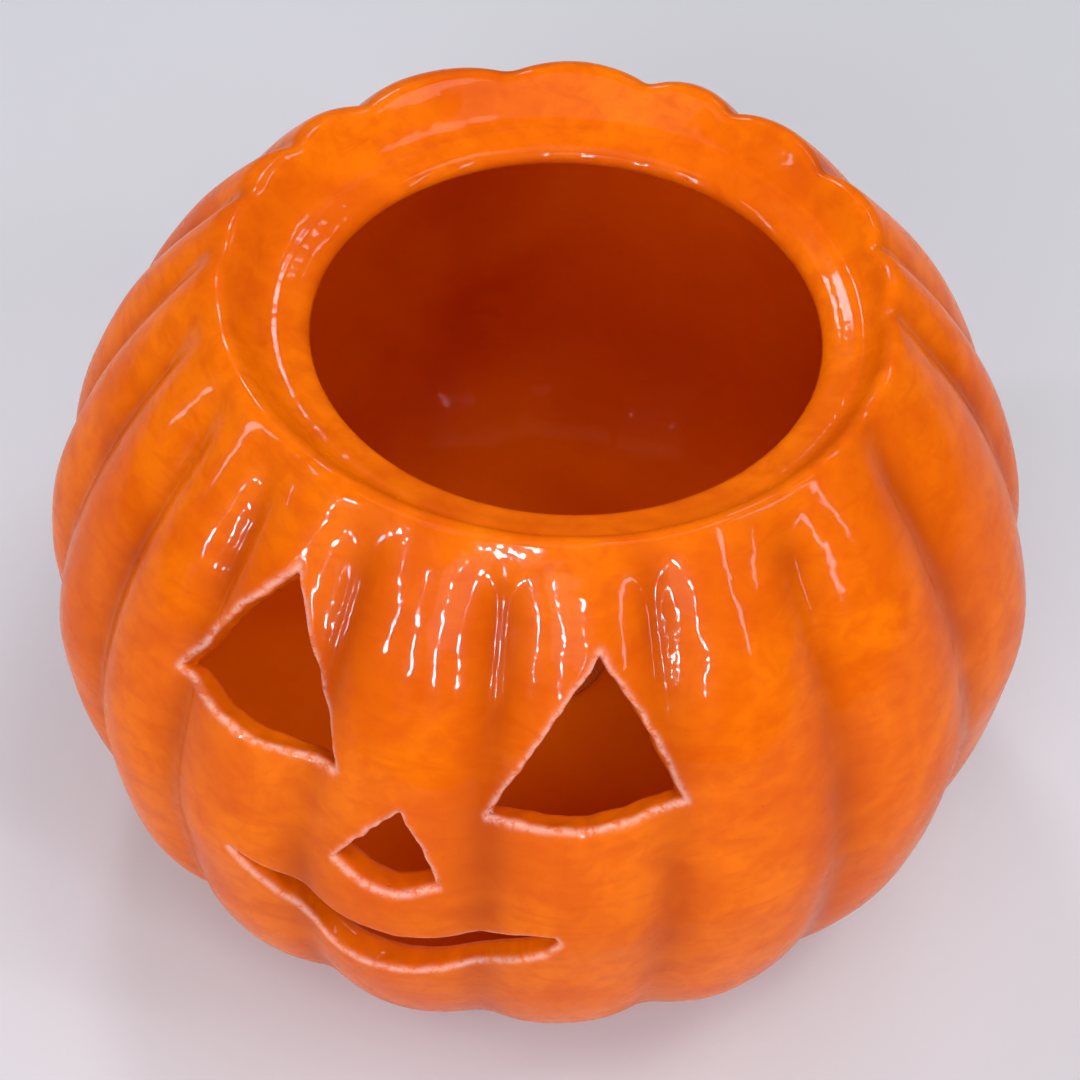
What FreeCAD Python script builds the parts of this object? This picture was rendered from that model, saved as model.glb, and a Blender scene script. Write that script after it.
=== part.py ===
import FreeCAD, Part
import math
import os

# A glazed ceramic pumpkin with a cut-out face, open at the top, and the tealight that it holds.
# Millimetres. The origin is the centre of the foot, +Z is up, and the face looks towards -Y.
# An azimuth is in degrees from the face's direction, -Y, towards +X.

Vector = FreeCAD.Vector
UP = Vector(0, 0, 1)

# The body: two superellipse quarters of revolution that meet at the belly.
BELLY_RADIUS = 89.0
BELLY_HEIGHT = 60.5
CROWN_APEX = 148.5          # where the upper curve would close, if the mouth didn't cut it off
CROWN_POWER = 1.7
BASE_RADIUS = 33.0          # where the lower curve would close
BASE_DEPTH = 2.0            # how far under the foot it would close
BASE_POWER = 2.66
WALL = 5.5

# The ribs: each is one arc from groove to groove. They are deepest at the shoulder, fade out
# towards the foot, and fade at the crest too, but much less at the back than in front.
GROOVES = (-60.5, -43, -28, -10, 10, 30, 50.5, 72.5, 100, 115.5, 137, 159.5, 177, 204.5, 234.5,
           252, 268, 283.5)
RIB_DEPTH = 3.4
RIB_DEPTH_FOOT = 1.0
RIB_DEPTH_SHOULDER = 3.7
RIB_DEPTH_CREST_FRONT = 1.3
RIB_DEPTH_CREST_BACK = 3.6
RIB_DEPTH_NECK = 1.0        # inside, under the lip
RIB_FADE_HEIGHT = 111.0     # the ribs fade from here up to the crest
INNER_RIB_SHARE = 0.85      # the slip evens the ribs out a little on the inside
OUTER_HEIGHTS = (0, 2.5, 7, 13, 21, 31, 43, 55, 66, 77, 87, 96, 104, 111, 117, 122, 126)
INNER_HEIGHTS = (3.5, 8, 14, 22, 32, 44, 56, 67, 78, 88, 96.5, 104, 110)  # on the outer surface

# The foot and the floor over it.
FOOT_RECESS_RADIUS = 43.0
FOOT_RECESS_DEPTH = 1.5
FLOOR_TOP = 7.5
FLOOR_RADIUS = 53.0

# The collar around the mouth: ribs fold over a soft crest, down a cove to a lid seat. Lip and
# seat share one centre and the crest has another, because the collar sits a little off the axis.
MOUTH_CENTRE = Vector(3.7, -3.1, 0)
MOUTH_RADIUS = 41.0
LIP_ROUNDING = 1.6
LIP_TOP = 116.4
LIP_UNDERSIDE = 112.2
NECK_RADIUS = 48.5          # the cavity at the underside of the lip
SEAT_RADIUS = 46.6          # the outer edge of the seat
SEAT_TOP = 117.0
CREST_CENTRE = Vector(2.1, -1.0, 0)
CREST_RADIUS = 55.0
CREST_TOP = 123.6
COVE_STEPS = (0, 0.12, 0.28, 0.5, 0.72, 0.88, 1)
COVE_STRAIGHTNESS = 0.15    # 1 is a straight slope from seat to crest, 0 a full S-curve

# The face, cut through towards the axis. Each cut has its middle azimuth, how many degrees the
# knife points down, and the runs of its outline as (azimuth, height) on the outside.
CUT_OUTSIDE = 110.0
CUT_INSIDE = 50.0           # the knife's cut ends this far from the axis
FACE = {
    "left_eye": (-18.5, 25, [[(-17.8, 112.0), (-24.6, 102.3), (-29.3, 90.7)],
                             [(-29.3, 90.7), (-19.0, 89.0), (-7.0, 90.0)],
                             [(-7.0, 90.0), (-11.9, 101.7), (-17.8, 112.0)]]),
    "right_eye": (21.0, 25, [[(22.4, 109.6), (16.0, 100.0), (10.2, 87.8)],
                             [(10.2, 87.8), (20.8, 87.0), (31.4, 88.9)],
                             [(31.4, 88.9), (27.6, 100.1), (22.4, 109.6)]]),
    "nose": (0.0, 12, [[(1.0, 85.9), (-2.2, 81.0), (-5.7, 74.0)],
                       [(-5.7, 74.0), (0.1, 71.3), (5.4, 73.6)],
                       [(5.4, 73.6), (4.0, 79.2), (1.0, 85.9)]]),
    "smile": (0.0, 10, [[(-17.6, 66.2), (-11.5, 62.9), (-5.0, 60.9), (3.0, 60.3), (9.8, 61.9),
                         (14.5, 64.7), (17.6, 65.6)],
                        [(17.6, 65.6), (17.8, 63.7), (15.6, 59.5), (10.6, 53.5), (4.0, 49.5),
                         (-2.5, 48.1), (-8.2, 50.3), (-12.8, 57.7), (-17.6, 66.2)]]),
}

# The tealight, which stands loose on the floor, a little behind the middle.
TEALIGHT_CENTRE = Vector(-5, 11, 0)
TEALIGHT_GAP = 0.2          # under the cup, so that the two bodies stay apart
CUP_RADIUS = 19.0
CUP_HEIGHT = 16.0
CUP_WALL = 0.35
CUP_BEAD = 0.5
CUP_DRAFT = 0.6             # how much narrower the cup is at its base
WAX_TOP = 13.6
TAB_RADIUS = 6.2
TAB_THICKNESS = 0.3
TAB_NECK_RADIUS = 1.3
TAB_NECK_HEIGHT = 3.2
WICK_RADIUS = 0.75
WICK_TOP = 22.0


def smooth_step(share):
    return share * share * (3 - 2 * share)


def crest_radius(height):
    """The distance from the axis to the body's ribs at a height."""
    if height >= BELLY_HEIGHT:
        rise = (height - BELLY_HEIGHT) / (CROWN_APEX - BELLY_HEIGHT)
        return BELLY_RADIUS * (1 - rise ** CROWN_POWER) ** (1 / CROWN_POWER)
    drop = (BELLY_HEIGHT - height) / (BELLY_HEIGHT + BASE_DEPTH)
    span = BELLY_RADIUS - BASE_RADIUS
    return BASE_RADIUS + span * (1 - drop ** BASE_POWER) ** (1 / BASE_POWER)


def rib_depth(height, azimuth):
    """How far a groove lies inside the ribs, at a height and an azimuth."""
    if height < BELLY_HEIGHT:
        share = (1 - height / BELLY_HEIGHT) ** 3
        return RIB_DEPTH + (RIB_DEPTH_FOOT - RIB_DEPTH) * share
    if height < RIB_FADE_HEIGHT:
        share = (height - BELLY_HEIGHT) / (RIB_FADE_HEIGHT - BELLY_HEIGHT)
        return RIB_DEPTH + (RIB_DEPTH_SHOULDER - RIB_DEPTH) * share
    backness = smooth_step((1 - math.cos(math.radians(azimuth))) / 2)
    crest = RIB_DEPTH_CREST_FRONT + (RIB_DEPTH_CREST_BACK - RIB_DEPTH_CREST_FRONT) * backness
    share = min((height - RIB_FADE_HEIGHT) / (CREST_TOP - RIB_FADE_HEIGHT), 1)
    return RIB_DEPTH_SHOULDER + (crest - RIB_DEPTH_SHOULDER) * smooth_step(share)


def groove_depths(height, share=1):
    return [share * rib_depth(height, azimuth) for azimuth in GROOVES]


def inner_point(height):
    """The radius and height of the cavity's wall, WALL inside the body at a height."""
    step = 0.01
    slope = (crest_radius(height + step) - crest_radius(height - step)) / (2 * step)
    length = math.hypot(1, slope)
    return crest_radius(height) - WALL / length, height + WALL * slope / length


def polar(radius, azimuth, height):
    angle = math.radians(azimuth)
    return Vector(radius * math.sin(angle), -radius * math.cos(angle), height)


def ribbed_section(radius, depths, height):
    """A level closed wire of one arc for each rib, from the depths of the grooves."""
    edges = []
    ends = GROOVES[1:] + (GROOVES[0] + 360,)
    end_depths = depths[1:] + depths[:1]
    for start, end, depth, end_depth in zip(GROOVES, ends, depths, end_depths):
        arc = Part.Arc(polar(radius - depth, start, height),
                       polar(radius, (start + end) / 2, height),
                       polar(radius - end_depth, end, height))
        edges.append(arc.toShape())
    return Part.Wire(edges)


def ribbed_solid(stations):
    """A solid through (radius, groove depths, height) stations."""
    wires = [ribbed_section(*station) for station in stations]
    return Part.makeLoft(wires, True, False)


def revolved(edges):
    """A solid from a closed outline in the XZ plane."""
    face = Part.Face(Part.Wire(edges))
    return face.revolve(Vector(0, 0, 0), UP, 360)


def line(a, b):
    return Part.LineSegment(Vector(a[0], 0, a[1]), Vector(b[0], 0, b[1])).toShape()


def lip_envelope():
    """Everything outside the mouth and under the lip and the seat, and all beyond the seat."""
    lip_start = (MOUTH_RADIUS, LIP_TOP - LIP_ROUNDING)
    lip_end = (MOUTH_RADIUS + LIP_ROUNDING, LIP_TOP)
    inset = LIP_ROUNDING * (1 - math.sqrt(0.5))
    lip_middle = (MOUTH_RADIUS + inset, LIP_TOP - inset)
    lip = Part.Arc(*[Vector(r, 0, z) for r, z in (lip_start, lip_middle, lip_end)]).toShape()
    seat = (SEAT_RADIUS, SEAT_TOP)
    above = (SEAT_RADIUS, CROWN_APEX)
    outside = BELLY_RADIUS + 20
    edges = [line((MOUTH_RADIUS, -1), lip_start), lip, line(lip_end, seat), line(seat, above),
             line(above, (outside, CROWN_APEX)), line((outside, CROWN_APEX), (outside, -1)),
             line((outside, -1), (MOUTH_RADIUS, -1))]
    envelope = revolved(edges)
    envelope.translate(MOUTH_CENTRE)
    core = Part.makeCylinder(MOUTH_RADIUS + 0.5, LIP_UNDERSIDE - 2, MOUTH_CENTRE)
    return envelope.fuse(core)


def cove_cutter():
    """The space over the seat and the cove, which widens and flattens out towards the crest."""
    wires = []
    for share in COVE_STEPS:
        centre = MOUTH_CENTRE + (CREST_CENTRE - MOUTH_CENTRE) * share
        radius = SEAT_RADIUS + (CREST_RADIUS - SEAT_RADIUS) * share
        climb = COVE_STRAIGHTNESS * share + (1 - COVE_STRAIGHTNESS) * smooth_step(share)
        height = SEAT_TOP + (CREST_TOP - SEAT_TOP) * climb
        wires.append(Part.Wire(Part.makeCircle(radius, centre + UP * height)))
    cove = Part.makeLoft(wires, True, False)
    above = Part.makeCylinder(BELLY_RADIUS + 20, CROWN_APEX - CREST_TOP, UP * CREST_TOP)
    return cove.fuse(above)


def cavity():
    """The space inside the body, up to the underside of the lip."""
    stations = [(FLOOR_RADIUS, groove_depths(0, INNER_RIB_SHARE), FLOOR_TOP)]
    for height in INNER_HEIGHTS:
        radius, inner_height = inner_point(height)
        stations.append((radius, groove_depths(height, INNER_RIB_SHARE), inner_height))
    stations.append((NECK_RADIUS, [RIB_DEPTH_NECK] * len(GROOVES), LIP_UNDERSIDE))
    return ribbed_solid(stations)


def face_cut(centre, tilt, outline):
    """A cutter that narrows towards the axis, from an outline of (azimuth, height) runs."""
    outward = polar(1, centre, 0)
    sideways = polar(1, centre + 90, 0)
    fall = math.tan(math.radians(tilt))
    wires = []
    for distance in (CUT_OUTSIDE, CUT_INSIDE):
        edges = []
        for run in outline:
            points = [outward * distance
                      + sideways * (distance * math.tan(math.radians(azimuth - centre)))
                      + UP * (height + (distance - crest_radius(height)) * fall)
                      for azimuth, height in run]
            spline = Part.BSplineCurve()
            spline.interpolate(points)
            edges.append(spline.toShape())
        wires.append(Part.Wire(edges))
    return Part.makeLoft(wires, True, True)


def pumpkin_shell():
    stations = [(crest_radius(h), groove_depths(h), h) for h in OUTER_HEIGHTS]
    body = ribbed_solid(stations)
    body = body.common(lip_envelope())
    body = body.cut(cove_cutter())
    body = body.cut(cavity())
    body = body.cut(Part.makeCylinder(FOOT_RECESS_RADIUS, FOOT_RECESS_DEPTH))
    for centre, tilt, outline in FACE.values():
        body = body.cut(face_cut(centre, tilt, outline))
    return body.Solids[0]


def tealight_cup():
    base = CUP_RADIUS - CUP_DRAFT
    wall_top = CUP_HEIGHT - CUP_BEAD
    edges = [line((0, 0), (base, 0)),
             line((base, 0), (CUP_RADIUS, wall_top)),
             line((CUP_RADIUS, wall_top), (CUP_RADIUS - CUP_WALL, wall_top)),
             line((CUP_RADIUS - CUP_WALL, wall_top), (base - CUP_WALL, CUP_WALL)),
             line((base - CUP_WALL, CUP_WALL), (0, CUP_WALL)),
             line((0, CUP_WALL), (0, 0))]
    bead = Part.makeTorus(CUP_RADIUS, CUP_BEAD, Vector(0, 0, wall_top), UP)
    return revolved(edges).fuse(bead).removeSplitter()


def wick_tab():
    disc = Part.makeCylinder(TAB_RADIUS, TAB_THICKNESS, Vector(0, 0, CUP_WALL))
    neck = Part.makeCylinder(TAB_NECK_RADIUS, TAB_NECK_HEIGHT, Vector(0, 0, CUP_WALL))
    hole = Part.makeCylinder(WICK_RADIUS, TAB_NECK_HEIGHT + 1, Vector(0, 0, CUP_WALL))
    return disc.fuse(neck).cut(hole).removeSplitter()


def wick():
    return Part.makeCylinder(WICK_RADIUS, WICK_TOP - CUP_WALL, Vector(0, 0, CUP_WALL))


def tealight_wax():
    base = CUP_RADIUS - CUP_DRAFT - CUP_WALL
    top = base + CUP_DRAFT * (WAX_TOP - CUP_WALL) / (CUP_HEIGHT - CUP_BEAD - CUP_WALL)
    wax = Part.makeCone(base, top, WAX_TOP - CUP_WALL, Vector(0, 0, CUP_WALL))
    tab = Part.makeCylinder(TAB_RADIUS, TAB_THICKNESS, Vector(0, 0, CUP_WALL))
    neck = Part.makeCylinder(TAB_NECK_RADIUS, TAB_NECK_HEIGHT, Vector(0, 0, CUP_WALL))
    hole = Part.makeCylinder(WICK_RADIUS, WICK_TOP, Vector(0, 0, CUP_WALL))
    return wax.cut(tab).cut(neck).cut(hole)


def main():
    os.makedirs("parts", exist_ok=True)
    shapes = {"pumpkin_shell": pumpkin_shell()}
    stand = TEALIGHT_CENTRE + UP * (FLOOR_TOP + TEALIGHT_GAP)
    for name, piece in (("tealight_cup", tealight_cup()), ("tealight_wax", tealight_wax()),
                        ("wick_tab", wick_tab()), ("wick", wick())):
        piece.translate(stand)
        shapes[name] = piece
    for name, shape in shapes.items():
        box = shape.BoundBox
        print(name, shape.ShapeType, "solids", len(shape.Solids), "valid", shape.isValid(),
              "volume", round(shape.Volume), "z", round(box.ZMin, 2), round(box.ZMax, 2),
              "x", round(box.XMin, 2), round(box.XMax, 2), "y", round(box.YMin, 2), round(box.YMax, 2))
        shape.exportStep(os.path.join("parts", name + ".step"))


main()
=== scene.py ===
import math

import bpy
import numpy as np
from mathutils import Matrix, Vector


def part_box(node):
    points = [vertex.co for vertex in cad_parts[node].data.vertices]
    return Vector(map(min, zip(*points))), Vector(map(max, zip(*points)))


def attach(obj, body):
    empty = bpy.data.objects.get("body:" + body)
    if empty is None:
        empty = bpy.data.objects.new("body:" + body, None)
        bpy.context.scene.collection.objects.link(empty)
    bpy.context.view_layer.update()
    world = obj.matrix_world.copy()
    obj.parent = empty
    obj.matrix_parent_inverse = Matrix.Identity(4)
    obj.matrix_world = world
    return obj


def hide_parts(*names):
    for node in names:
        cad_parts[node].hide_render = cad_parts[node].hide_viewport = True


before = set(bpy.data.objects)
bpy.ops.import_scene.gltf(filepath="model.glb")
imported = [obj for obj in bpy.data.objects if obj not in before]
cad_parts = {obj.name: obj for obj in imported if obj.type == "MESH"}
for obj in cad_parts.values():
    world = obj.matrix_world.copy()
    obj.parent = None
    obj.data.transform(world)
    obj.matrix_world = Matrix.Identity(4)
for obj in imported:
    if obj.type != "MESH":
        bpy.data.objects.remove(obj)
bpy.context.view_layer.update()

# Looks for a glazed ceramic pumpkin lantern with a tealight inside. Lengths are millimetres until
# a mesh is made, and metres in Blender. Azimuths are degrees from -Y, where the face looks, to +X.
MM = 0.001
SEED = 31

# ---------------------------------------------------------------- the pumpkin's dimensions
BELLY_RADIUS = 89.0
BELLY_HEIGHT = 60.5
CROWN_APEX = 148.5
CROWN_POWER = 1.7
BASE_RADIUS = 33.0
BASE_DEPTH = 2.0
BASE_POWER = 2.66
WALL = 5.5

GROOVES = (-60.5, -43, -28, -10, 10, 30, 50.5, 72.5, 100, 115.5, 137, 159.5, 177, 204.5, 234.5,
           252, 268, 283.5)
RIB_DEPTH = 3.4
RIB_DEPTH_FOOT = 1.0
RIB_DEPTH_SHOULDER = 3.7
RIB_DEPTH_CREST_FRONT = 1.3
RIB_DEPTH_CREST_BACK = 3.6
RIB_FADE_HEIGHT = 111.0     # the ribs fade from here up to the crest, in front most
INNER_RIB_SHARE = 0.85
GROOVE_SOFTNESS = 2.3
CREST_SOFTNESS = 4.5        # the grooves' softness at the front of the crest
INNER_GROOVE_SOFTNESS = 3.0
RIB_UNEVENNESS = 0.35       # how far some ribs fall short of the others

FOOT_RECESS_RADIUS = 43.0
FOOT_RECESS_DEPTH = 1.5
FLOOR_TOP = 7.5

MOUTH_CENTRE = (3.7, -3.1)
MOUTH_RADIUS = 41.0
LIP_TOP = 116.4
LIP_UNDERSIDE = 112.2
SEAT_RADIUS = 46.6
SEAT_TOP = 117.0
SEAT_RIDGE = 0.35           # the fine ridge along the seat's outer edge
CREST_CENTRE = (2.1, -1.0)
CREST_RADIUS = 55.0
CREST_TOP = 123.6
COVE_STRAIGHTNESS = 0.15

CUT_REACH = 85.0            # the distance from the axis where the cuts have their true size
# Each cut: its middle azimuth, how many degrees the knife points down, and the runs of its
# outline as (azimuth, height) on the outside.
FACE = {
    "left_eye": (-18.5, 25, [[(-17.8, 112.0), (-24.6, 102.3), (-29.3, 90.7)],
                             [(-29.3, 90.7), (-19.0, 89.0), (-7.0, 90.0)],
                             [(-7.0, 90.0), (-11.9, 101.7), (-17.8, 112.0)]]),
    "right_eye": (21.0, 25, [[(22.4, 109.6), (16.0, 100.0), (10.2, 87.8)],
                             [(10.2, 87.8), (20.8, 87.0), (31.4, 88.9)],
                             [(31.4, 88.9), (27.6, 100.1), (22.4, 109.6)]]),
    "nose": (0.0, 12, [[(1.0, 85.9), (-2.2, 81.0), (-5.7, 74.0)],
                       [(-5.7, 74.0), (0.1, 71.3), (5.4, 73.6)],
                       [(5.4, 73.6), (4.0, 79.2), (1.0, 85.9)]]),
    "smile": (0.0, 10, [[(-17.6, 66.2), (-11.5, 62.9), (-5.0, 60.9), (3.0, 60.3), (9.8, 61.9),
                         (14.5, 64.7), (17.6, 65.6)],
                        [(17.6, 65.6), (17.8, 63.7), (15.6, 59.5), (10.6, 53.5), (4.0, 49.5),
                         (-2.5, 48.1), (-8.2, 50.3), (-12.8, 57.7), (-17.6, 66.2)]]),
}

# How far each edge is rounded by the glaze: the widths of the blends between surfaces.
CREST_BLEND = 2.8
FOOT_BLEND = 2.5
RECESS_BLEND = 1.0
LIP_BLEND = 3.2
CAVITY_BLEND = 5.0
CUT_BLEND = 1.5
CUT_WOBBLE = 0.09           # how far the knife strays from its line
CUT_CHIPS = 0.08            # how deep the glaze has chipped along the cuts
WAVINESS = 0.13             # the hand-finished surface's long waves


# Small measures of the shape.
WAVE_INSET = 1.6            # the skin is drawn in by this many waves, so it stays inside the CAD box
PROFILE_TOP = CROWN_APEX - 8    # the outline of the body is held above this height
SEAT_RIDGE_INSET = 0.5
SEAT_RIDGE_WIDTH = 1.3
COLLAR_FALL_OFF = 0.1       # how steeply the collar's surface goes on past the crest
HOLLOW_BLEND = 1.2
MOUTH_DEPTH = 20.0
FACE_NEAREST = 45.0         # all of the face is further than this in front of the axis
FACE_MARGIN = 8.0
CUT_STEPS = 14              # the points of an outline from one given point to the next
WOBBLE_TURNS = range(5, 17)
WOBBLE_SPREAD = 3.4

# The mesh: its grid, and how near to a cut, a wall's surface or the collar it is made finer.
GRID_STEP = 1.05
FINE_NEAR_CUT = 2.2
FINE_NEAR_WALL = 2.4
FINE_COLLAR_DEPTH = 3.0

# How far the masks for the glaze reach.
POOL_REACH = 2.5
OUTER_BREAK = 0.46
INNER_BREAK = 0.4
MOUTH_BREAK = 0.5
FOOT_RING_OUTSIDE = 53.5
BARE_HEIGHT = 1.1
INSIDE_DEPTH = 3.2


# ---------------------------------------------------------------- the tealight's dimensions
CUP_BEAD = 0.5
CUP_WALL = 0.3
CUP_DRAFT = 0.6
CUP_CORNER = 0.7            # the height of the corner round the cup's base
CUP_SIDE_STEPS = 8
CUP_FLUTES = 48
CUP_FLUTE_DEPTH = 0.16
TAB_RADIUS = 6.2
TAB_THICKNESS = 0.3
TAB_BOTTOM = 0.35
NECK_RADIUS = 1.3
NECK_TOP = TAB_BOTTOM + 3.2
WAX_SKIN = 0.03             # the gap between the wax and what it holds
WICK_RADIUS = 0.75
STRANDS = 3
STRAND_TURNS = 9.0
STRAND_RADIUS = 0.36
STRAND_STEPS = 150
STRAND_SIDES = 10


# ---------------------------------------------------------------- the pumpkin's shape, as fields
# A field is below zero inside the clay and about one per millimetre across its surface.
def smooth_max(a, b, width):
    share = np.clip(0.5 + 0.5 * (a - b) / width, 0, 1)
    return b + (a - b) * share + width * share * (1 - share)


def crest_radius(z):
    rise = np.clip((z - BELLY_HEIGHT) / (CROWN_APEX - BELLY_HEIGHT), 0, 0.995)
    drop = np.clip((BELLY_HEIGHT - z) / (BELLY_HEIGHT + BASE_DEPTH), 0, 0.995)
    upper = BELLY_RADIUS * (1 - rise ** CROWN_POWER) ** (1 / CROWN_POWER)
    span = BELLY_RADIUS - BASE_RADIUS
    lower = BASE_RADIUS + span * (1 - drop ** BASE_POWER) ** (1 / BASE_POWER)
    return np.where(z >= BELLY_HEIGHT, upper, lower)


def smooth_step(share):
    share = np.clip(share, 0, 1)
    return share * share * (3 - 2 * share)


def backness(azimuth):
    """0 in front and 1 at the back."""
    return smooth_step((1 - np.cos(np.radians(azimuth))) / 2)


def rib_depth(z, azimuth):
    """How far the grooves lie inside the ribs."""
    down = np.clip(1 - z / BELLY_HEIGHT, 0, 1) ** 3
    up = np.clip((z - BELLY_HEIGHT) / (RIB_FADE_HEIGHT - BELLY_HEIGHT), 0, 1)
    depth = RIB_DEPTH + (RIB_DEPTH_SHOULDER - RIB_DEPTH) * up + (RIB_DEPTH_FOOT - RIB_DEPTH) * down
    crest = RIB_DEPTH_CREST_FRONT + (RIB_DEPTH_CREST_BACK - RIB_DEPTH_CREST_FRONT) * backness(azimuth)
    fade = smooth_step((z - RIB_FADE_HEIGHT) / (CREST_TOP - RIB_FADE_HEIGHT))
    return depth + (crest - RIB_DEPTH_SHOULDER) * fade


def groove_softness(z, azimuth):
    fade = smooth_step((z - RIB_FADE_HEIGHT) / (CREST_TOP - RIB_FADE_HEIGHT))
    return GROOVE_SOFTNESS + (CREST_SOFTNESS - GROOVE_SOFTNESS) * fade * (1 - backness(azimuth))


def slope_of(function, z, step=0.05):
    return (function(z + step) - function(z - step)) / (2 * step)


GROOVE_RING = np.array((GROOVES[-1] - 360,) + GROOVES + (GROOVES[0] + 360, GROOVES[1] + 360))
rng = np.random.default_rng(SEED)
RIB_SHORTFALL = rng.uniform(0, RIB_UNEVENNESS, len(GROOVES))
RIB_SHORTFALL = np.concatenate([RIB_SHORTFALL[-1:], RIB_SHORTFALL, RIB_SHORTFALL[:2]])


def rib_arc(radius, depth, angle, rib):
    """The circle arc of one rib, carried on past its grooves."""
    low, high = GROOVE_RING[rib], GROOVE_RING[rib + 1]
    half = np.radians((high - low) / 2)
    phi = np.radians(angle - (low + high) / 2)
    radius = radius - RIB_SHORTFALL[rib]
    chord = (radius - depth) * np.sin(half)
    rise = radius - (radius - depth) * np.cos(half)
    arc_radius = (chord ** 2 + rise ** 2) / (2 * rise)
    centre = radius - arc_radius
    under_root = np.maximum(arc_radius ** 2 - (centre * np.sin(phi)) ** 2, 0)
    return centre * np.cos(phi) + np.sqrt(under_root)


def ribbed_radius(radius, depth, azimuth, softness):
    angle = (azimuth - GROOVES[0]) % 360 + GROOVES[0]
    rib = np.searchsorted(GROOVE_RING, angle, side="right") - 1
    here = rib_arc(radius, depth, angle, rib)
    before = rib_arc(radius, depth, angle, rib - 1)
    after = rib_arc(radius, depth, angle, rib + 1)
    return smooth_max(smooth_max(here, before, softness), after, softness)


def wave_set(count, shortest, longest):
    """Random plane waves, as (direction, wave number, phase)."""
    directions = rng.normal(size=(count, 3))
    directions /= np.linalg.norm(directions, axis=1)[:, None]
    numbers = 2 * np.pi / rng.uniform(shortest, longest, count)
    return list(zip(directions, numbers, rng.uniform(0, 2 * np.pi, count)))


HAND_WAVES = wave_set(22, 16, 60)
CHIP_WAVES = wave_set(18, 2.2, 7)


def waviness(waves, x, y, z):
    """The sum of the waves, about one high."""
    total = np.zeros_like(x)
    for direction, number, phase in waves:
        total += np.sin(number * (direction[0] * x + direction[1] * y + direction[2] * z) + phase)
    return total / math.sqrt(len(waves) / 2)


def collar_height(x, y):
    """The top of the lip, the seat, the cove and the crest."""
    from_mouth = np.hypot(x - MOUTH_CENTRE[0], y - MOUTH_CENTRE[1])
    from_crest = np.hypot(x - CREST_CENTRE[0], y - CREST_CENTRE[1])
    seat_width = SEAT_RADIUS - MOUTH_RADIUS
    seat = LIP_TOP + (SEAT_TOP - LIP_TOP) * np.minimum((from_mouth - MOUTH_RADIUS) / seat_width, 1)
    past_seat = np.maximum(from_mouth - SEAT_RADIUS, 0)
    to_crest = np.maximum(CREST_RADIUS - from_crest, 0)
    share = past_seat / (past_seat + to_crest + 1e-6)
    climb = COVE_STRAIGHTNESS * share + (1 - COVE_STRAIGHTNESS) * smooth_step(share)
    ridge = SEAT_RIDGE * np.exp(-((from_mouth - SEAT_RADIUS + SEAT_RIDGE_INSET) / SEAT_RIDGE_WIDTH) ** 2)
    outside = np.maximum(from_crest - CREST_RADIUS, 0)
    return seat + (CREST_TOP - SEAT_TOP) * climb + ridge + COLLAR_FALL_OFF * outside


def collar_field(x, y, z):
    step = 0.05
    slope_x = (collar_height(x + step, y) - collar_height(x - step, y)) / (2 * step)
    slope_y = (collar_height(x, y + step) - collar_height(x, y - step)) / (2 * step)
    return (z - collar_height(x, y)) / np.sqrt(1 + slope_x ** 2 + slope_y ** 2)


def inner_profile():
    """Radii of the cavity's wall against height: the body's profile, moved in by the wall."""
    z = np.linspace(0.5, 118, 900)
    slope = slope_of(crest_radius, z)
    length = np.hypot(1, slope)
    heights = z + WALL * slope / length
    radii = crest_radius(z) - WALL / length
    order = np.argsort(heights)
    return heights[order], radii[order]


INNER_HEIGHTS, INNER_RADII = inner_profile()


def inner_radius(z):
    return np.interp(z, INNER_HEIGHTS, INNER_RADII)


def polar(x, y):
    return np.hypot(x, y), np.degrees(np.arctan2(x, -y))


def body_field(x, y, z):
    """The outside: ribs, collar and foot, with no opening."""
    radius, azimuth = polar(x, y)
    height = np.clip(z, 0, PROFILE_TOP)
    depth, softness = rib_depth(height, azimuth), groove_softness(height, azimuth)
    wall = ribbed_radius(crest_radius(height), depth, azimuth, softness)
    wall -= WAVINESS * (WAVE_INSET + waviness(HAND_WAVES, x, y, z))
    side = (radius - wall) / np.hypot(1, slope_of(crest_radius, height))
    field = smooth_max(side, collar_field(x, y, z), CREST_BLEND)
    field = smooth_max(field, -z, FOOT_BLEND)
    recess = np.maximum(radius - FOOT_RECESS_RADIUS, z - FOOT_RECESS_DEPTH)
    return smooth_max(field, -recess, RECESS_BLEND)


def cavity_field(x, y, z):
    """The space inside, below zero where it is empty, closed at the floor and under the lip."""
    radius, azimuth = polar(x, y)
    depth = INNER_RIB_SHARE * rib_depth(z, azimuth)
    wall = ribbed_radius(inner_radius(z), depth, azimuth, INNER_GROOVE_SOFTNESS)
    wall -= 2 * WAVINESS * waviness(HAND_WAVES, x, y, z)
    side = (radius - wall) / np.hypot(1, slope_of(inner_radius, z))
    field = smooth_max(side, FLOOR_TOP - z, CAVITY_BLEND)
    return smooth_max(field, z - LIP_UNDERSIDE, CAVITY_BLEND)


def mouth_field(x, y, z):
    distance = np.hypot(x - MOUTH_CENTRE[0], y - MOUTH_CENTRE[1])
    return np.maximum(distance - MOUTH_RADIUS, LIP_UNDERSIDE - MOUTH_DEPTH - z)


def spline_points(points, count):
    """Points along a smooth open curve through the given ones (Catmull-Rom)."""
    p = np.array(points, float)
    p = np.vstack([2 * p[0] - p[1], p, 2 * p[-1] - p[-2]])
    result = []
    for i in range(1, len(p) - 2):
        for t in np.arange(count) / count:
            a, b, c, d = p[i - 1:i + 3]
            result.append(0.5 * (2 * b + (c - a) * t + (2 * a - 5 * b + 4 * c - d) * t ** 2
                                 + (3 * b - 3 * c + d - a) * t ** 3))
    result.append(p[-2])
    return result


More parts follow.
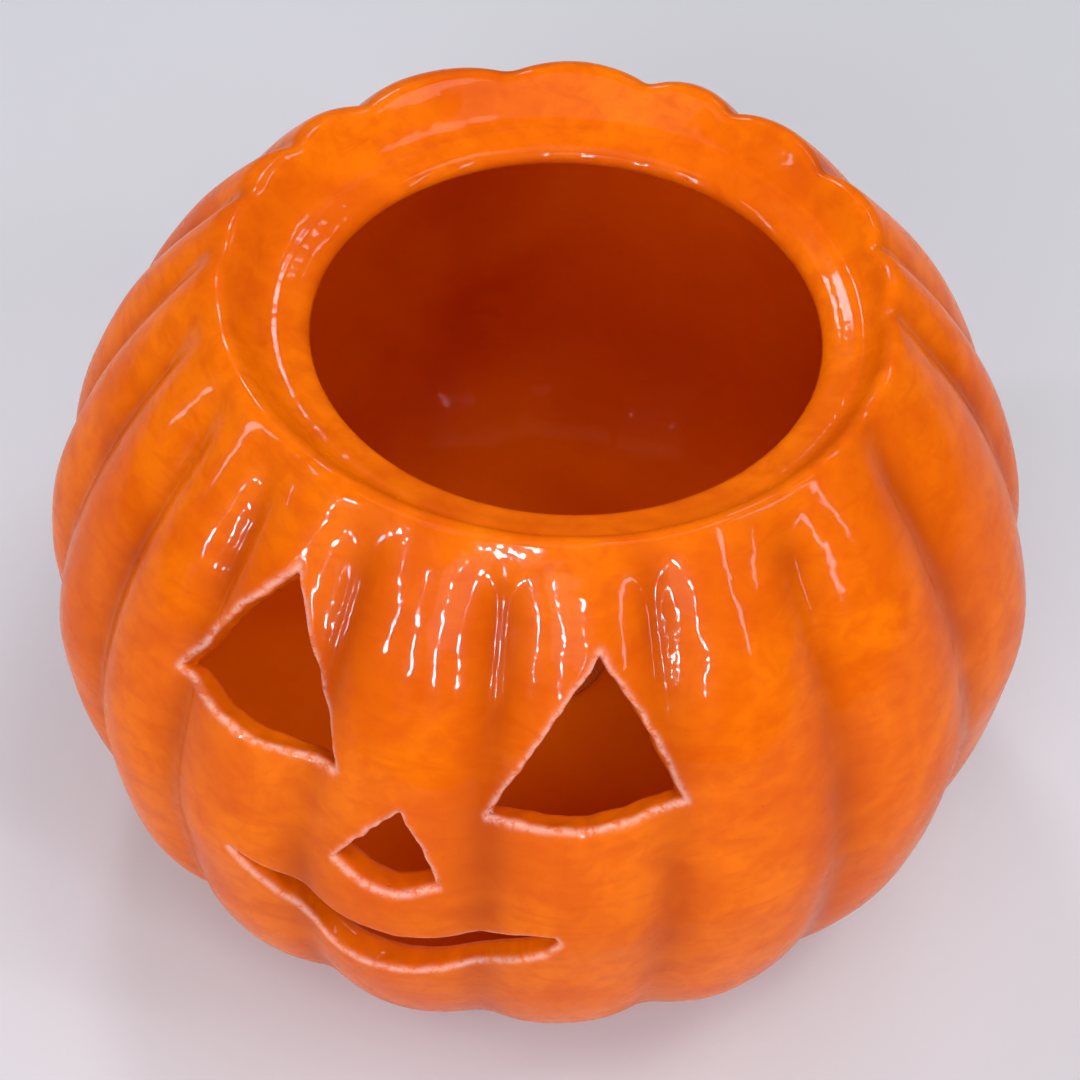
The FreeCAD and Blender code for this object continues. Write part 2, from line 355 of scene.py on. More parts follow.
def cut_outline(centre, runs):
    """The closed outline of one cut in millimetres across and up, with the knife's wobble."""
    points = []
    for run in runs:
        points += spline_points(run, CUT_STEPS)[:-1]
    points = np.array(points)
    across = CUT_REACH * np.tan(np.radians(points[:, 0] - centre))
    outline = np.stack([across, points[:, 1]], axis=1)
    along = np.arange(len(outline)) / len(outline) * 2 * np.pi
    wobble = np.zeros(len(outline))
    for turns in WOBBLE_TURNS:
        wobble += rng.normal() * np.sin(turns * along + rng.uniform(0, 2 * np.pi)) / WOBBLE_SPREAD
    tangent = np.roll(outline, -1, axis=0) - np.roll(outline, 1, axis=0)
    tangent /= np.linalg.norm(tangent, axis=1)[:, None] + 1e-9
    normal = np.stack([tangent[:, 1], -tangent[:, 0]], axis=1)
    return outline + normal * wobble[:, None] * CUT_WOBBLE


CUTS = [(centre, tilt, cut_outline(centre, runs)) for centre, tilt, runs in FACE.values()]


def outline_distance(px, py, outline):
    """The signed distance from points to a closed outline, below zero inside it."""
    nearest = np.full(px.shape, 1e9)
    inside = np.zeros(px.shape, bool)
    for (ax, ay), (bx, by) in zip(outline, np.roll(outline, -1, axis=0)):
        ex, ey = bx - ax, by - ay
        share = np.clip(((px - ax) * ex + (py - ay) * ey) / (ex * ex + ey * ey + 1e-12), 0, 1)
        nearest = np.minimum(nearest, (px - ax - share * ex) ** 2 + (py - ay - share * ey) ** 2)
        crosses = (ay > py) != (by > py)
        if ay != by:
            inside ^= crosses & (px < ex * (py - ay) / ey + ax)
    distance = np.sqrt(nearest)
    return np.where(inside, -distance, distance)


def face_field(x, y, z):
    """The four cuts of the face, below zero inside them."""
    field = np.full(x.shape, 30.0)
    for centre, tilt, outline in CUTS:
        angle = math.radians(centre)
        ahead = x * math.sin(angle) - y * math.cos(angle)
        aside = x * math.cos(angle) + y * math.sin(angle)
        safe = np.maximum(ahead, 1.0)
        across = CUT_REACH * aside / safe
        up = z - (ahead - crest_radius(z)) * math.tan(math.radians(tilt))
        low, high = outline.min(axis=0) - FACE_MARGIN, outline.max(axis=0) + FACE_MARGIN
        near = ((ahead > FACE_NEAREST) & (across > low[0]) & (across < high[0])
                & (up > low[1]) & (up < high[1]))
        if near.any():
            found = outline_distance(across[near], up[near], outline)
            found *= np.minimum(safe[near] / CUT_REACH, 1)
            found += CUT_CHIPS * waviness(CHIP_WAVES, x[near], y[near], z[near])
            field[near] = np.minimum(field[near], found)
    return field


def parts_of_field(x, y, z):
    return body_field(x, y, z), cavity_field(x, y, z), mouth_field(x, y, z), face_field(x, y, z)


def clay_field(x, y, z):
    body, cavity, mouth, face = parts_of_field(x, y, z)
    hollow = smooth_max(body, -cavity, HOLLOW_BLEND)
    open_top = smooth_max(hollow, -mouth, LIP_BLEND)
    return smooth_max(open_top, -face, CUT_BLEND)


# ---------------------------------------------------------------- meshing a field
def sample_grid(field, low, high, step):
    axes = [np.arange(a, b + step, step) for a, b in zip(low, high)]
    x, y = np.meshgrid(axes[0], axes[1], indexing="ij")
    values = np.empty([len(axis) for axis in axes])
    for k, z in enumerate(axes[2]):
        values[:, :, k] = field(x, y, np.full_like(x, z))
    return axes, values


def surface_net(field, low, high, step):
    """Quads over the field's zero surface: one vertex for each grid cell that the surface cuts."""
    axes, values = sample_grid(field, low, high, step)
    size = np.array(values.shape)
    cells = size - 1
    sums = np.zeros((int(np.prod(cells)), 3))
    counts = np.zeros(len(sums))
    crossings = []
    for axis in range(3):
        first = np.take(values, range(size[axis] - 1), axis=axis)
        second = np.take(values, range(1, size[axis]), axis=axis)
        index = np.stack(np.nonzero((first < 0) != (second < 0)), axis=1)
        a, b = first[tuple(index.T)], second[tuple(index.T)]
        point = index.astype(float)
        point[:, axis] += a / (a - b)
        others = [other for other in range(3) if other != axis]
        around = []
        for du, dv in ((0, 0), (-1, 0), (-1, -1), (0, -1)):
            cell = index.copy()
            cell[:, others[0]] += du
            cell[:, others[1]] += dv
            flat = np.ravel_multi_index(tuple(cell.T), tuple(cells))
            for column in range(3):
                sums[:, column] += np.bincount(flat, point[:, column], len(sums))
            counts += np.bincount(flat, minlength=len(sums))
            around.append(flat)
        quads = np.stack(around, axis=1)
        flip = (a < 0) if axis != 1 else (a >= 0)
        quads[~flip] = quads[~flip][:, ::-1]
        crossings.append(quads)
    used = np.nonzero(counts)[0]
    number = np.full(len(sums), -1)
    number[used] = np.arange(len(used))
    points = sums[used] / counts[used][:, None]
    points = np.stack([axes[i][0] + step * points[:, i] for i in range(3)], axis=1)
    return points, number[np.concatenate(crossings)]


def gradient(field, points, step=0.04):
    result = np.empty_like(points)
    for axis in range(3):
        shift = np.zeros(3)
        shift[axis] = step
        ahead, behind = points + shift, points - shift
        result[:, axis] = (field(*ahead.T) - field(*behind.T)) / (2 * step)
    return result


def project(field, points, rounds):
    """Moves points onto the field's zero surface."""
    for _ in range(rounds):
        slope = gradient(field, points)
        value = field(*points.T)
        steepness = np.maximum((slope ** 2).sum(axis=1), 0.15)
        move = -(value / steepness)[:, None] * slope
        length = np.linalg.norm(move, axis=1)[:, None]
        points = points + move * np.minimum(1, 0.6 / np.maximum(length, 1e-9))
    return points


def relax(points, quads, amount, rounds):
    """Evens the spacing of the vertices."""
    edges = np.concatenate([quads[:, [i, (i + 1) % 4]] for i in range(4)])
    for _ in range(rounds):
        total = np.zeros_like(points)
        for column in range(3):
            total[:, column] = (np.bincount(edges[:, 0], points[edges[:, 1], column], len(points))
                                + np.bincount(edges[:, 1], points[edges[:, 0], column], len(points)))
        count = (np.bincount(edges[:, 0], minlength=len(points))
                 + np.bincount(edges[:, 1], minlength=len(points)))
        points = points + amount * (total / count[:, None] - points)
    return points


def refine(points, faces, marked):
    """Splits the marked quads in four. A neighbour takes the new points into its outline."""
    points = list(points)
    middles = {}

    def middle(a, b):
        key = (a, b) if a < b else (b, a)
        if key not in middles:
            middles[key] = len(points)
            points.append((np.asarray(points[a]) + np.asarray(points[b])) / 2)
        return middles[key]

    result = []
    for face, mark in zip(faces, marked):
        if mark:
            sides = [middle(face[i], face[(i + 1) % 4]) for i in range(4)]
            centre = len(points)
            points.append(np.mean([points[i] for i in face], axis=0))
            for i in range(4):
                result.append([face[i], sides[i], centre, sides[i - 1]])
    for face, mark in zip(faces, marked):
        if not mark:
            outline = []
            for i in range(4):
                a, b = face[i], face[(i + 1) % 4]
                outline.append(a)
                key = (a, b) if a < b else (b, a)
                if key in middles:
                    outline.append(middles[key])
            result.append(outline)
    return np.array(points), result


# ---------------------------------------------------------------- materials
def new_material(name):
    material = bpy.data.materials.new(name)
    material.use_nodes = True
    tree = material.node_tree
    shader = tree.nodes["Principled BSDF"]
    return material, tree, shader


def add_node(tree, kind, **settings):
    node = tree.nodes.new(kind)
    for key, value in settings.items():
        if key in node.inputs and not hasattr(node, key):
            node.inputs[key].default_value = value
        else:
            setattr(node, key, value)
    return node


def object_coordinates(tree):
    return add_node(tree, "ShaderNodeTexCoord").outputs["Object"]


def noise(tree, vector, scale, detail=3.0, roughness=0.5, distortion=0.0):
    node = add_node(tree, "ShaderNodeTexNoise")
    node.inputs["Scale"].default_value = scale
    node.inputs["Detail"].default_value = detail
    node.inputs["Roughness"].default_value = roughness
    node.inputs["Distortion"].default_value = distortion
    tree.links.new(vector, node.inputs["Vector"])
    return node.outputs["Fac"]


def spread(tree, value, low, high, to_low=0.0, to_high=1.0):
    node = add_node(tree, "ShaderNodeMapRange", interpolation_type="SMOOTHSTEP")
    tree.links.new(value, node.inputs["Value"])
    node.inputs["From Min"].default_value = low
    node.inputs["From Max"].default_value = high
    node.inputs["To Min"].default_value = to_low
    node.inputs["To Max"].default_value = to_high
    return node.outputs["Result"]


def calculate(tree, operation, first, second):
    node = add_node(tree, "ShaderNodeMath", operation=operation)
    for socket, value in zip(node.inputs, (first, second)):
        if isinstance(value, (int, float)):
            socket.default_value = value
        else:
            tree.links.new(value, socket)
    return node.outputs["Value"]


def mix_colours(tree, share, first, second):
    node = add_node(tree, "ShaderNodeMix", data_type="RGBA")
    for name, value in (("Factor_Float", share), ("A_Color", first), ("B_Color", second)):
        socket = next(s for s in node.inputs if s.identifier == name)
        if isinstance(value, tuple):
            socket.default_value = (*value, 1.0)
        elif isinstance(value, (int, float)):
            socket.default_value = value
        else:
            tree.links.new(value, socket)
    return next(s for s in node.outputs if s.identifier == "Result_Color")


def attribute(tree, name):
    return add_node(tree, "ShaderNodeAttribute", attribute_name=name).outputs["Fac"]


def bump(tree, height, strength, distance, below=None):
    node = add_node(tree, "ShaderNodeBump")
    node.inputs["Strength"].default_value = strength
    node.inputs["Distance"].default_value = distance
    tree.links.new(height, node.inputs["Height"])
    if below is not None:
        tree.links.new(below, node.inputs["Normal"])
    return node.outputs["Normal"]


BRIGHT_ORANGE = (0.90, 0.172, 0.001)
DEEP_ORANGE = (0.68, 0.084, 0.001)
AMBER = (0.42, 0.050, 0.001)
INSIDE_ORANGE = (0.92, 0.165, 0.001)
# Painted shade: the colour of the darker patches that noise lays over the inside glaze.
INSIDE_PAINTED_SHADE = (0.80, 0.105, 0.001)
PALE_BREAK = (0.95, 0.66, 0.55)
BARE_CLAY = (0.74, 0.62, 0.50)
CLAY_SPECKS = (0.52, 0.40, 0.30)
COAT_WEIGHT = 0.17


def orange_glaze():
    """Orange glaze over white slip: pooled darker in the grooves, broken pale at the edges, and painted
    shade in large patches inside.
    """
    material, tree, shader = new_material("orange_glaze")
    place = object_coordinates(tree)
    bare, inside = attribute(tree, "bare"), attribute(tree, "inside")
    clouds = noise(tree, place, 38.0, 4.0, 0.55, 0.6)
    mottle = noise(tree, place, 190.0, 3.0, 0.6, 0.4)
    grain = noise(tree, place, 620.0, 3.0, 0.65)
    deep = spread(tree, clouds, 0.36, 0.66, 0.0, 0.6)
    colour = mix_colours(tree, deep, BRIGHT_ORANGE, DEEP_ORANGE)
    colour = mix_colours(tree, spread(tree, mottle, 0.4, 0.72, 0.0, 0.45), colour, DEEP_ORANGE)
    level = add_node(tree, "ShaderNodeMapping")
    level.inputs["Scale"].default_value = (1.0, 1.0, 3.2)
    tree.links.new(place, level.inputs["Vector"])
    brushed = noise(tree, level.outputs["Vector"], 95.0, 3.0, 0.6, 1.0)
    colour = mix_colours(tree, spread(tree, brushed, 0.45, 0.7, 0.0, 0.4), colour, DEEP_ORANGE)
    uneven = spread(tree, clouds, 0.3, 0.7, 0.45, 0.95)
    pooled = calculate(tree, "MULTIPLY", attribute(tree, "pool"), uneven)
    colour = mix_colours(tree, pooled, colour, AMBER)
    # Painted shade inside: large noise lobes darken the inside glaze from INSIDE_ORANGE towards the
    # painted shade colour.
    lobes = noise(tree, place, 15.0, 2.0, 0.5, 0.4)
    inside_with_painted_shade = mix_colours(tree, spread(tree, lobes, 0.4, 0.62), INSIDE_ORANGE, INSIDE_PAINTED_SHADE)
    colour = mix_colours(tree, calculate(tree, "MULTIPLY", inside, 0.85), colour, inside_with_painted_shade)
    patchy = spread(tree, grain, 0.36, 0.54, 0.2, 1.0)
    broken = calculate(tree, "MULTIPLY", attribute(tree, "edge"), patchy)
    colour = mix_colours(tree, broken, colour, PALE_BREAK)
    specks = spread(tree, noise(tree, place, 900.0, 2.0), 0.62, 0.72, 0.0, 0.35)
    colour = mix_colours(tree, bare, colour, mix_colours(tree, specks, BARE_CLAY, CLAY_SPECKS))
    tree.links.new(colour, shader.inputs["Base Color"])
    gloss = spread(tree, noise(tree, place, 75.0, 4.0, 0.6), 0.3, 0.75, 0.2, 0.36)
    dull = calculate(tree, "MAXIMUM", bare, calculate(tree, "MULTIPLY", inside, 0.35))
    roughness = calculate(tree, "ADD", gloss, calculate(tree, "MULTIPLY", dull, 0.5))
    tree.links.new(roughness, shader.inputs["Roughness"])
    unglazed = calculate(tree, "MAXIMUM", bare, calculate(tree, "MULTIPLY", inside, 0.7))
    tree.links.new(spread(tree, unglazed, 0.0, 1.0, COAT_WEIGHT, 0.0), shader.inputs["Coat Weight"])
    shader.inputs["Coat Roughness"].default_value = 0.05
    shader.inputs["Coat IOR"].default_value = 1.5
    shader.inputs["IOR"].default_value = 1.4
    shader.inputs["Specular IOR Level"].default_value = 0.02
    skin = bump(tree, noise(tree, place, 55.0, 2.0, 0.5), 0.4, 0.0009)
    skin = bump(tree, noise(tree, place, 140.0, 2.0, 0.5), 0.4, 0.0005, skin)
    skin = bump(tree, noise(tree, place, 320.0, 2.0, 0.5), 0.3, 0.0002, skin)
    pits = add_node(tree, "ShaderNodeTexVoronoi", feature="F1")
    pits.inputs["Scale"].default_value = 70.0
    tree.links.new(place, pits.inputs["Vector"])
    pit = spread(tree, pits.outputs["Distance"], 0.0, 0.028, 1.0, 0.0)
    skin = bump(tree, calculate(tree, "MULTIPLY", pit, -1.0), 0.6, 0.0003, skin)
    skin = bump(tree, calculate(tree, "MULTIPLY", grain, bare), 0.5, 0.0003, skin)
    tree.links.new(skin, shader.inputs["Normal"])
    tree.links.new(skin, shader.inputs["Coat Normal"])
    return material


def rolled_aluminium():
    material, tree, shader = new_material("cup_aluminium")
    place = object_coordinates(tree)
    smudge = noise(tree, place, 160.0, 4.0, 0.6)
    colour = mix_colours(tree, spread(tree, smudge, 0.35, 0.7), (0.80, 0.80, 0.81), (0.66, 0.66, 0.68))
    tree.links.new(colour, shader.inputs["Base Color"])
    shader.inputs["Metallic"].default_value = 1.0
    tree.links.new(spread(tree, smudge, 0.3, 0.7, 0.2, 0.38), shader.inputs["Roughness"])
    dents = bump(tree, noise(tree, place, 300.0, 2.0), 0.5, 0.0002)
    brushed = bump(tree, noise(tree, place, 2400.0, 1.0), 0.2, 0.00003, dents)
    tree.links.new(brushed, shader.inputs["Normal"])
    return material


def paraffin():
    material, tree, shader = new_material("tealight_paraffin")
    place = object_coordinates(tree)
    cloud = noise(tree, place, 120.0, 4.0, 0.6)
    colour = mix_colours(tree, spread(tree, cloud, 0.3, 0.7), (0.90, 0.88, 0.82), (0.80, 0.77, 0.70))
    tree.links.new(colour, shader.inputs["Base Color"])
    tree.links.new(spread(tree, cloud, 0.3, 0.7, 0.28, 0.48), shader.inputs["Roughness"])
    shader.inputs["Subsurface Weight"].default_value = 0.6
    shader.inputs["Subsurface Radius"].default_value = (1.0, 0.8, 0.6)
    shader.inputs["Subsurface Scale"].default_value = 0.002
    tree.links.new(bump(tree, noise(tree, place, 420.0, 3.0), 0.4, 0.0002), shader.inputs["Normal"])
    return material


def tinned_steel():
    material, tree, shader = new_material("tab_tinned_steel")
    place = object_coordinates(tree)
    smudge = noise(tree, place, 500.0, 3.0, 0.6)
    colour = mix_colours(tree, spread(tree, smudge, 0.35, 0.7), (0.60, 0.60, 0.62), (0.44, 0.44, 0.46))
    tree.links.new(colour, shader.inputs["Base Color"])
    shader.inputs["Metallic"].default_value = 1.0
    tree.links.new(spread(tree, smudge, 0.3, 0.7, 0.3, 0.45), shader.inputs["Roughness"])
    tree.links.new(bump(tree, smudge, 0.3, 0.0001), shader.inputs["Normal"])
    return material


def cotton_wick():
    material, tree, shader = new_material("wick_cotton")
    place = object_coordinates(tree)
    fibre = noise(tree, place, 3800.0, 3.0, 0.7)
    colour = mix_colours(tree, spread(tree, fibre, 0.3, 0.7), (0.86, 0.83, 0.76), (0.66, 0.61, 0.52))
    tree.links.new(colour, shader.inputs["Base Color"])
    tree.links.new(spread(tree, fibre, 0.3, 0.7, 0.7, 0.92), shader.inputs["Roughness"])
    tree.links.new(bump(tree, fibre, 0.6, 0.0001), shader.inputs["Normal"])
    return material


# ---------------------------------------------------------------- pieces
def new_object(name, points, faces, material):
    """A smooth-shaded object from points in metres."""
    mesh = bpy.data.meshes.new(name)
    mesh.from_pydata([tuple(p) for p in points], [], [tuple(int(i) for i in face) for face in faces])
    mesh.materials.append(material)
    mesh.polygons.foreach_set("use_smooth", [True] * len(mesh.polygons))
    mesh.update()
    piece = bpy.data.objects.new(name, mesh)
    bpy.context.scene.collection.objects.link(piece)
    return piece


def store(mesh, name, values):
    layer = mesh.attributes.new(name, "FLOAT", "POINT")
    layer.data.foreach_set("value", np.asarray(values, dtype=np.float32))


def edge_between(first, second, width):
    """1 where two surfaces meet, falling off over the width."""
    return np.exp(-(first ** 2 + second ** 2) / (2 * width ** 2))


def pumpkin_masks(points):
    """Where the glaze pools, breaks over an edge or was wiped off the foot, and what is inside."""
    x, y, z = points.T
    body, cavity, mouth, face = parts_of_field(x, y, z)
    radius, azimuth = polar(x, y)
    height = np.clip(z, 0, PROFILE_TOP)
    wall = ribbed_radius(crest_radius(height), rib_depth(height, azimuth), azimuth, GROOVE_SOFTNESS)
    groove = np.clip((crest_radius(height) - wall) / RIB_DEPTH, 0, 1) ** 2
    outside = np.clip(1 - np.abs(radius - wall) / POOL_REACH, 0, 1)
    pool = groove * outside
    sharp_outer = edge_between(face, body, OUTER_BREAK)
    sharp_inner = 0.35 * edge_between(face, cavity, INNER_BREAK)
    mouth_edge = 0.3 * edge_between(mouth, cavity, MOUTH_BREAK)
    edge = np.clip(sharp_outer + sharp_inner + mouth_edge, 0, 1)
    ring = (radius > FOOT_RECESS_RADIUS + 0.5) & (radius < FOOT_RING_OUTSIDE)
    bare = np.where(ring, np.clip((BARE_HEIGHT - z) / 0.5, 0, 1), 0)
    inside = np.clip((body + INSIDE_DEPTH) / -1.5, 0, 1) * (z < LIP_UNDERSIDE + 1.5)
    return {"pool": pool, "edge": edge, "bare": bare, "inside": inside}


def glazed_pumpkin(material):
    reach = BELLY_RADIUS + 2
    points, quads = surface_net(clay_field, (-reach, -reach, -2), (reach, reach, CREST_TOP + 2), GRID_STEP)
    points = project(clay_field, points, 2)
    points = relax(points, quads, 0.4, 2)
    points = project(clay_field, points, 2)
    body, cavity, _, face = parts_of_field(*points.T)
    near_wall = np.minimum(np.abs(body), np.abs(cavity)) < FINE_NEAR_WALL
    near_cut = (np.abs(face) < FINE_NEAR_CUT) & near_wall
    on_collar = (np.abs(body) < 1) & (collar_field(*points.T) > -FINE_COLLAR_DEPTH)
    marked = (near_cut | on_collar)[quads].any(axis=1)
    points, faces = refine(points, quads.tolist(), marked)
    points = project(clay_field, points, 3)
    normals = gradient(clay_field, points)
    normals /= np.linalg.norm(normals, axis=1)[:, None]
    points[:, 2] = np.maximum(points[:, 2], 0)
    piece = new_object("glazed_pumpkin", points * MM, faces, material)
    for name, values in pumpkin_masks(points).items():
        store(piece.data, name, values)
    piece.data.normals_split_custom_set_from_vertices([tuple(n) for n in normals])
    return piece


def turned(name, profile, centre, material, segments, flutes=0, flute_depth=0.0, fluted=()):
    """A closed piece of revolution from a closed profile of (radius, height)."""
    points, faces = [], []
    count = len(profile)
    for i in range(segments):
        angle = 2 * math.pi * i / segments
        for j, (radius, height) in enumerate(profile):
            if j in fluted:
                radius -= flute_depth * (0.5 - 0.5 * math.cos(flutes * angle))
            points.append((centre[0] + radius * math.cos(angle), centre[1] + radius * math.sin(angle),
                           centre[2] + height))
    for i in range(segments):
        ahead = (i + 1) % segments
        for j in range(count):
            k = (j + 1) % count
            faces.append((i * count + j, ahead * count + j, ahead * count + k, i * count + k))
    return new_object(name, np.array(points) * MM, faces, material)


def cup_from_cad():
    """The centre of the cup's underside, the radii of its top and its base, and its height."""
    low, high = (np.array(corner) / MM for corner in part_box("tealight_cup"))
    centre = ((low[0] + high[0]) / 2, (low[1] + high[1]) / 2, low[2])
    radius = (high[0] - low[0]) / 2 - CUP_BEAD
    return centre, radius, radius - CUP_DRAFT, high[2] - low[2]


def cup_side(cup, inset):
    """Points up the cup's slanting side, moved in by the inset."""
    _, radius, base, height = cup
    shares = [i / (CUP_SIDE_STEPS + 1) for i in range(1, CUP_SIDE_STEPS + 1)]
    return [(base + (radius - base) * share - inset, CUP_CORNER + (height - CUP_CORNER - 1.0) * share)
            for share in shares]


def foil_cup(cup, material):
    """A pressed cup with a ring in its base, fluted sides and a rolled bead."""
    centre, radius, base, height = cup
    foot = [(0.01, 0), (base * 0.6, 0.0), (base * 0.62, 0.12), (base * 0.86, 0.12), (base * 0.9, 0),
            (base - 0.7, 0.0), (base - 0.2, 0.15), (base, CUP_CORNER)]
    rim = [(radius + CUP_BEAD * math.cos(a), height - CUP_BEAD + CUP_BEAD * math.sin(a))
           for a in np.radians(np.arange(-60, 181, 24))]
    floor = [(base - CUP_WALL, CUP_CORNER), (base - 0.7, CUP_WALL), (0.01, CUP_WALL)]
    outer, inner = cup_side(cup, 0.0), cup_side(cup, CUP_WALL)[::-1]
    inner_start = len(foot + outer + rim)
    fluted = {*range(len(foot), len(foot + outer)), *range(inner_start, inner_start + len(inner))}
    profile = foot + outer + rim + inner + floor
    return turned("foil_cup", profile, centre, material, 288, CUP_FLUTES, CUP_FLUTE_DEPTH, fluted)


def crimped_wick_tab(cup, material):
    """A thin disc with a crimped neck that holds the wick."""
    top = TAB_BOTTOM + TAB_THICKNESS
    profile = [(WICK_RADIUS, TAB_BOTTOM), (TAB_RADIUS - 0.1, TAB_BOTTOM), (TAB_RADIUS, TAB_BOTTOM + 0.1),
               (TAB_RADIUS - 0.1, top), (NECK_RADIUS + 0.5, top), (NECK_RADIUS + 0.12, top + 0.3),
               (NECK_RADIUS, TAB_BOTTOM + 1.0), (NECK_RADIUS, NECK_TOP - 0.15),
               (NECK_RADIUS - 0.15, NECK_TOP), (WICK_RADIUS, NECK_TOP)]
    return turned("crimped_wick_tab", profile, cup[0], material, 64)


def poured_wax(cup, material):
    """Wax that has shrunk a little in the middle and climbs at the cup and at the wick."""
    centre, radius, base, height = cup
    wax_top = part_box("tealight_wax")[1][2] / MM - centre[2]
    rise = (wax_top - CUP_CORNER) / (height - CUP_CORNER - 1.0)
    rim = base + (radius - base) * rise - CUP_WALL - 0.2
    disc_top = TAB_BOTTOM + TAB_THICKNESS
    profile = [(TAB_RADIUS + WAX_SKIN, TAB_BOTTOM + 0.02), (base - 1.0, TAB_BOTTOM + 0.02),
               (base - CUP_WALL - 0.3, 0.9), (rim, wax_top - 0.9), (rim - 0.02, wax_top - 0.25),
               (rim - 0.25, wax_top), (rim - 0.7, wax_top - 0.28), (rim - 2.2, wax_top - 0.55)]
    for share in (0.75, 0.55, 0.38, 0.25, 0.16):
        profile.append((rim * share, wax_top - 0.65 - 0.25 * (1 - share)))
    by_wick, by_neck = WICK_RADIUS + WAX_SKIN, NECK_RADIUS + WAX_SKIN
    profile += [(1.6, wax_top - 0.75), (1.05, wax_top - 0.5), (by_wick, wax_top - 0.2),
                (by_wick, NECK_TOP + WAX_SKIN), (by_neck, NECK_TOP + WAX_SKIN),
                (by_neck, disc_top + 0.5), (NECK_RADIUS + 0.55, disc_top + WAX_SKIN),
                (TAB_RADIUS + WAX_SKIN, disc_top + WAX_SKIN)]
    return turned("poured_wax", profile, centre, material, 160)


def twisted_wick(cup, material):
    """Three strands twisted together, drawn to a point at the top."""
    centre = cup[0]
    wick_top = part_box("wick")[1][2] / MM - centre[2]
    around = WICK_RADIUS - STRAND_RADIUS - 0.02
    points, faces = [], []
    for strand in range(STRANDS):
        start = len(points)
        for i in range(STRAND_STEPS + 1):
            share = i / STRAND_STEPS
            angle = 2 * math.pi * (STRAND_TURNS * share + strand / STRANDS)
            z = TAB_BOTTOM + 0.05 + (wick_top - TAB_BOTTOM - 0.1) * share
            taper = 1.0 if share < 0.97 else 1.0 - 10 * (share - 0.97)
            axis = (centre[0] + around * taper * math.cos(angle),
                    centre[1] + around * taper * math.sin(angle))
            for k in range(STRAND_SIDES):
                turn = 2 * math.pi * k / STRAND_SIDES
                points.append((axis[0] + STRAND_RADIUS * taper * math.cos(turn),
                               axis[1] + STRAND_RADIUS * taper * math.sin(turn), centre[2] + z))
        for i in range(STRAND_STEPS):
            for k in range(STRAND_SIDES):
                a = start + i * STRAND_SIDES + k
                b = start + i * STRAND_SIDES + (k + 1) % STRAND_SIDES
                faces.append((a, b, b + STRAND_SIDES, a + STRAND_SIDES))
        faces.append([start + k for k in reversed(range(STRAND_SIDES))])
        faces.append([start + STRAND_STEPS * STRAND_SIDES + k for k in range(STRAND_SIDES)])
    return new_object("twisted_wick", np.array(points) * MM, faces, material)


def tealight(materials):
    """The cup, its wax, the steel tab and the wick, each inside its CAD node's box."""
    cup = cup_from_cad()
    return {"tealight_cup": foil_cup(cup, materials["cup"]),
            "wick_tab": crimped_wick_tab(cup, materials["tab"]),
            "tealight_wax": poured_wax(cup, materials["wax"]),
            "wick": twisted_wick(cup, materials["wick"])}


# ---------------------------------------------------------------- stage, lights, camera
LIGHT_TARGET_HEIGHT = 0.07


def place_camera(target_height, azimuth, elevation, distance, roll, lens):
    """The camera looks at a point on the object's axis."""
    a, e = math.radians(azimuth), math.radians(elevation)
    outward = Vector((math.sin(a) * math.cos(e), -math.cos(a) * math.cos(e), math.sin(e)))
    target = Vector((0, 0, target_height))
    camera = bpy.data.objects.new("camera", bpy.data.cameras.new("camera"))
    rotation = outward.to_track_quat("Z", "Y").to_matrix().to_4x4()
    camera.matrix_world = (Matrix.Translation(target + outward * distance) @ rotation
                           @ Matrix.Rotation(math.radians(roll), 4, "Z"))
    camera.data.lens = lens
    camera.data.clip_start = 0.01
    bpy.context.scene.collection.objects.link(camera)
    bpy.context.scene.camera = camera


def soft_light(name, azimuth, elevation, distance, width, height, power, colour=(1, 1, 1),
               diffuse=True, glossy=True):
    """A rectangular light that faces the object, and lights it, shows in its gloss, or both."""
    a, e = math.radians(azimuth), math.radians(elevation)
    outward = Vector((math.sin(a) * math.cos(e), -math.cos(a) * math.cos(e), math.sin(e)))
    data = bpy.data.lights.new(name, "AREA")
    data.shape = "RECTANGLE"
    data.size = width
    data.size_y = height
    data.energy = power
    data.color = colour
    light = bpy.data.objects.new(name, data)
    place = Vector((0, 0, LIGHT_TARGET_HEIGHT)) + outward * distance
    light.matrix_world = Matrix.Translation(place) @ outward.to_track_quat("Z", "Y").to_matrix().to_4x4()
    light.visible_diffuse = diffuse
    light.visible_glossy = glossy
    bpy.context.scene.collection.objects.link(light)


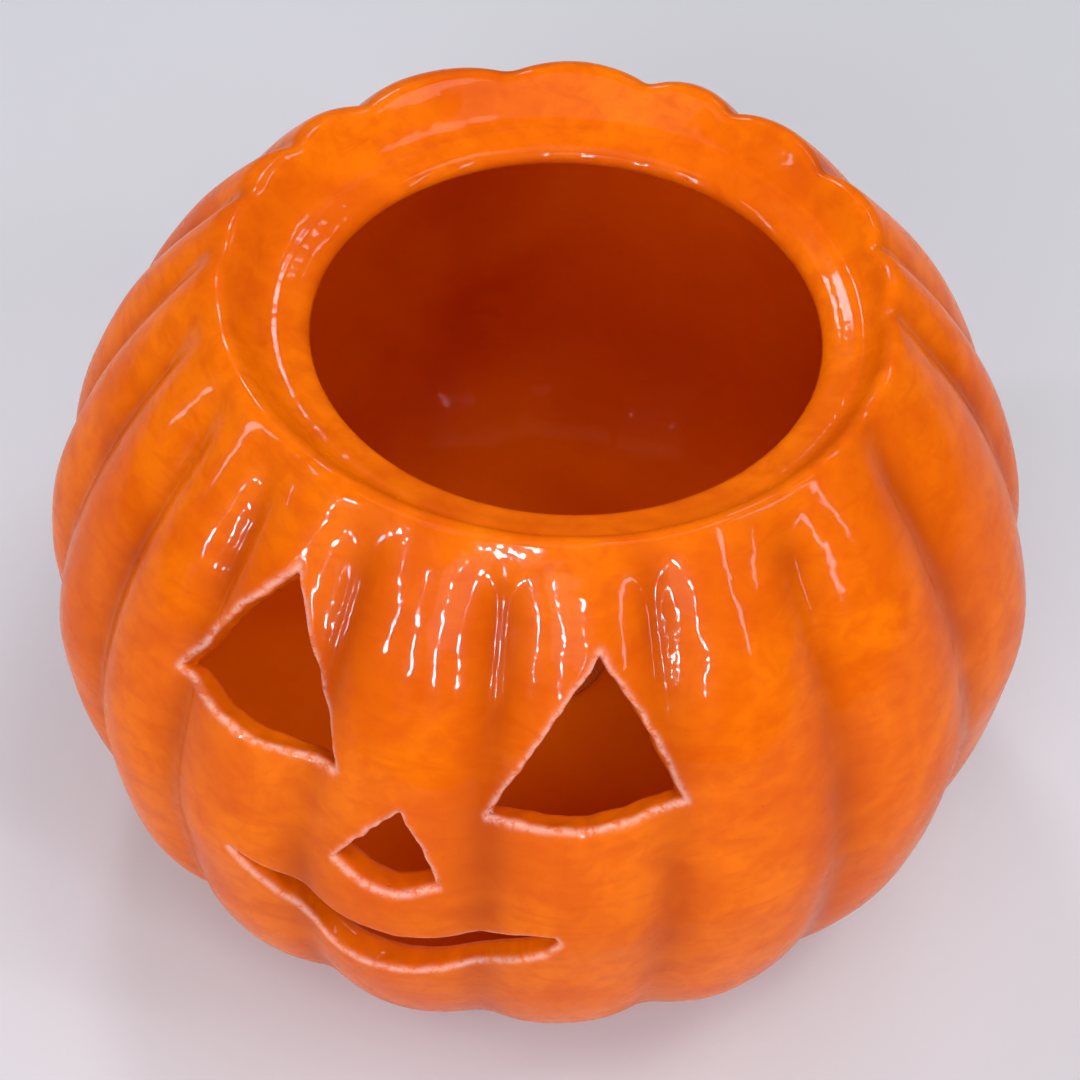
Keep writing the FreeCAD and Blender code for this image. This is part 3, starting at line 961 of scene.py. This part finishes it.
def pale_floor():
    bpy.ops.mesh.primitive_plane_add(size=6.0, location=(0, 0, 0))
    floor = bpy.context.object
    floor.name = "floor"
    material, tree, shader = new_material("pale_floor")
    shader.inputs["Base Color"].default_value = (0.64, 0.64, 0.64, 1)
    shader.inputs["Roughness"].default_value = 0.85
    floor.data.materials.append(material)


def studio():
    pale_floor()
    world = bpy.data.worlds.new("studio")
    bpy.context.scene.world = world
    world.use_nodes = True
    world.node_tree.nodes["Background"].inputs["Color"].default_value = (1.0, 1.0, 1.0, 1)
    world.node_tree.nodes["Background"].inputs["Strength"].default_value = 0.12
    cool = (0.86, 0.86, 1.0)
    soft_light("ceiling", 5, 70, 1.6, 1.5, 1.0, 7.6)
    soft_light("ceiling_right", 100, 68, 1.3, 0.4, 0.4, 3.6)
    soft_light("window", 12, 31, 1.4, 0.6, 0.4, 2.2, cool)
    soft_light("front_fill", -10, 26, 1.3, 0.5, 0.5, 6.0, cool, glossy=False)
    for row, azimuth in enumerate((-36, -14, 8, 28)):
        for place, elevation in enumerate((16, 22, 28, 34)):
            soft_light(f"lamp_{row}_{place}", azimuth, elevation, 1.3, 0.028, 0.065, 2.2, cool,
                       diffuse=False)
    soft_light("strip_left", -74, 28, 0.9, 0.04, 0.5, 1.6, cool)
    soft_light("strip_right", 62, 30, 0.9, 0.04, 0.5, 1.8, cool)
    soft_light("strip_far_right", 84, 30, 0.9, 0.03, 0.4, 1.0, cool)
    soft_light("lamp_back_left", 212, 46, 1.1, 0.16, 0.1, 2.4, cool)
    soft_light("lamp_back_right", 165, 50, 1.1, 0.35, 0.04, 1.2, cool)
    bpy.context.scene.view_settings.view_transform = "Standard"


# ---------------------------------------------------------------- the scene
studio()
place_camera(target_height=0.0543, azimuth=14.5, elevation=50.46, distance=0.342, roll=2.4, lens=60.6)

pumpkin = glazed_pumpkin(orange_glaze())
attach(pumpkin, "shell")
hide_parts("pumpkin_shell")

tealight_materials = {"cup": rolled_aluminium(), "wax": paraffin(), "tab": tinned_steel(),
                      "wick": cotton_wick()}
for node, piece in tealight(tealight_materials).items():
    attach(piece, "tealight")
    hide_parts(node)
